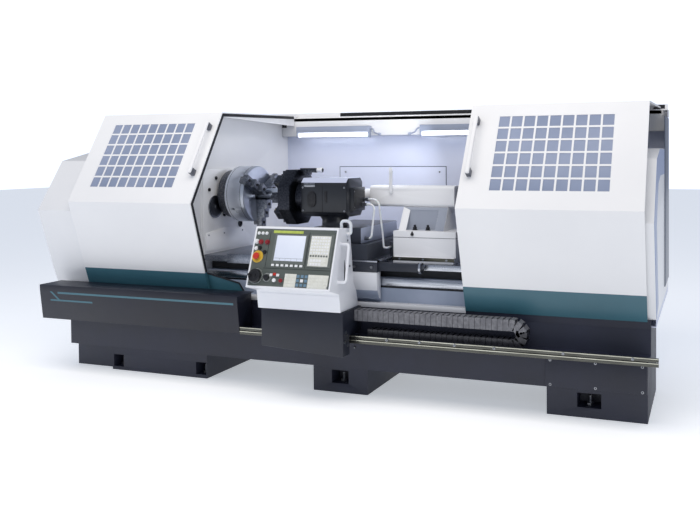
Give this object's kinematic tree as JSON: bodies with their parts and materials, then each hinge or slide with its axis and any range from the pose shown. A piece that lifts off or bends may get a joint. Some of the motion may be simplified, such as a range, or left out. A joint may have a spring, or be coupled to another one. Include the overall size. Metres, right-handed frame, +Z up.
{
  "type": "cnc turning lathe",
  "caption": "Flat-bed CNC turning lathe with two sliding roofed doors, a three-jaw chuck, a tool turret, a tailstock and an operator station on a front rail.",
  "frame": {"origin": "on the floor at the centre of the middle pedestal's foot, below the spindle axis", "axes": "+X along the bed from headstock to tailstock, +Y to the rear of the machine, +Z up"},
  "size_m": [4.337, 1.7066, 1.891],
  "materials": {
    "casting_paint": "satin",
    "white_paint": "satin",
    "bed_paint": "satin",
    "ground_steel": "satin",
    "dark_steel": "satin",
    "chuck_steel": "polished",
    "turret_paint": "satin",
    "window_glass": "gloss",
    "panel_plastic": "matte",
    "black_plastic": "matte",
    "red_plastic": "gloss",
    "green_plastic": "gloss",
    "belt_rubber": "matte",
    "hose_plastic": "matte",
    "lamp_plastic": "gloss",
    "lamp_metal": "satin",
    "screw_steel": "satin"
  },
  "bodies": {
    "frame": {"base_casting": "casting_paint", "levelling_screws": "screw_steel", "bed_casting": "bed_paint", "bed_ways": "ground_steel", "headstock_housing": "bed_paint", "headstock_face_plate": "white_paint", "spindle_bearings": "ground_steel", "main_motor": "casting_paint", "drive_belt": "belt_rubber", "headstock_end_cover": "white_paint", "left_front_panel": "casting_paint", "front_tray": "white_paint", "front_rail": "ground_steel", "cable_chain": "black_plastic", "rear_wall": "white_paint", "rear_chip_pan": "white_paint", "header": "white_paint", "lamp_housings": "lamp_metal", "lamp_tubes": "lamp_plastic", "right_end_cover": "white_paint", "fixed_way_cover": "ground_steel", "machine_screws": "screw_steel"},
    "spindle": {"spindle_shaft": "ground_steel", "chuck_body": "chuck_steel", "test_bar": "ground_steel"},
    "jaw_a": {"jaw_1": "dark_steel"},
    "jaw_b": {"jaw_2": "dark_steel"},
    "jaw_c": {"jaw_3": "dark_steel"},
    "motor_rotor": {"motor_pulley": "dark_steel"},
    "left_door": {"left_door_shell": "white_paint", "left_door_glass": "window_glass", "left_door_handle": "white_paint"},
    "right_door": {"right_door_shell": "white_paint", "right_door_glass": "window_glass", "right_door_handle": "white_paint"},
    "carriage": {"saddle": "dark_steel", "apron": "white_paint", "tow_bar": "dark_steel", "carriage_way_cover": "ground_steel"},
    "middle_cover": {"middle_way_cover": "ground_steel"},
    "cross": {"cross_slide": "turret_paint", "turret_housing": "turret_paint", "hose_short": "hose_plastic", "hose_long": "hose_plastic"},
    "turret": {"turret_disc": "dark_steel", "tool_holders": "dark_steel"},
    "tailstock": {"tailstock_body": "turret_paint"},
    "tail_quill": {"quill": "ground_steel", "dead_centre": "dark_steel"},
    "lever": {"quill_lever": "dark_steel"},
    "station": {"station_housing": "white_paint", "panel_face": "panel_plastic", "station_apron": "casting_paint", "side_handle": "white_paint", "conduit": "hose_plastic"},
    "estop": {"estop_button": "red_plastic"},
    "start": {"start_button": "green_plastic"},
    "hold": {"hold_button": "red_plastic"},
    "wheel": {"handwheel": "black_plastic"},
    "knob": {"override_knob": "black_plastic"}
  },
  "joints": [
    {"name": "spindle_turn", "type": "hinge", "parent": "frame", "child": "spindle", "pos_m": [-1.5, 0, 1.268], "axis": [1, 0, 0], "continuous": true},
    {"name": "jaw_a_slide", "type": "slide", "parent": "spindle", "child": "jaw_a", "axis": [0, -0.866, 0.5], "range_m": [0, 0.03]},
    {"name": "jaw_b_slide", "type": "slide", "parent": "spindle", "child": "jaw_b", "axis": [0, 0.866, 0.5], "range_m": [0, 0.03]},
    {"name": "jaw_c_slide", "type": "slide", "parent": "spindle", "child": "jaw_c", "axis": [0, 0, -1], "range_m": [0, 0.03]},
    {"name": "motor_turn", "type": "hinge", "parent": "frame", "child": "motor_rotor", "pos_m": [-1.9, 0.52, 0.79], "axis": [1, 0, 0], "continuous": true},
    {"name": "left_door_slide", "type": "slide", "parent": "frame", "child": "left_door", "axis": [1, 0, 0], "range_m": [0, 0.92]},
    {"name": "right_door_slide", "type": "slide", "parent": "frame", "child": "right_door", "axis": [-1, 0, 0], "range_m": [0, 0.92]},
    {"name": "carriage_slide", "type": "slide", "parent": "frame", "child": "carriage", "axis": [1, 0, 0], "range_m": [-0.24, 0.03]},
    {"name": "middle_cover_slide", "type": "slide", "parent": "frame", "child": "middle_cover", "axis": [1, 0, 0], "range_m": [-0.12, 0.015]},
    {"name": "cross_feed", "type": "slide", "parent": "carriage", "child": "cross", "axis": [0, 1, 0], "range_m": [0, 0.09], "deforming": ["hose_long"]},
    {"name": "turret_index", "type": "hinge", "parent": "cross", "child": "turret", "pos_m": [-0.34, -0.265, 1.268], "axis": [1, 0, 0], "continuous": true},
    {"name": "tailstock_slide", "type": "slide", "parent": "frame", "child": "tailstock", "axis": [1, 0, 0], "range_m": [0, 1.1]},
    {"name": "quill_feed", "type": "slide", "parent": "tailstock", "child": "tail_quill", "axis": [-1, 0, 0], "range_m": [-0.04, 0.15]},
    {"name": "quill_clamp", "type": "hinge", "parent": "tailstock", "child": "lever", "pos_m": [0.258, -0.07, 1.298], "axis": [0, 1, 0], "range_deg": [-35, 60]},
    {"name": "station_slide", "type": "slide", "parent": "frame", "child": "station", "axis": [1, 0, 0], "range_m": [-0.18, 0.8], "deforming": ["cable_chain"]},
    {"name": "estop_press", "type": "slide", "parent": "station", "child": "estop", "axis": [0, 0.9414, -0.3373], "range_m": [0, 0.007]},
    {"name": "start_press", "type": "slide", "parent": "station", "child": "start", "axis": [0, 0.9414, -0.3373], "range_m": [0, 0.004], "stiffness_N_per_m": 700},
    {"name": "hold_press", "type": "slide", "parent": "station", "child": "hold", "axis": [0, 0.9414, -0.3373], "range_m": [0, 0.004], "stiffness_N_per_m": 700},
    {"name": "handwheel_turn", "type": "hinge", "parent": "station", "child": "wheel", "pos_m": [-0.34, -0.77571, 0.81178], "axis": [0, -0.9414, 0.3373], "continuous": true},
    {"name": "override_turn", "type": "hinge", "parent": "station", "child": "knob", "pos_m": [-0.262, -0.77774, 0.80613], "axis": [0, -0.9414, 0.3373], "range_deg": [-135, 135]}
  ],
  "couplings": [
    {"joint": "jaw_b_slide", "follows": "jaw_a_slide", "ratio": 1},
    {"joint": "jaw_c_slide", "follows": "jaw_a_slide", "ratio": 1},
    {"joint": "motor_turn", "follows": "spindle_turn", "ratio": 1.8571},
    {"joint": "middle_cover_slide", "follows": "carriage_slide", "ratio": 0.5}
  ]
}
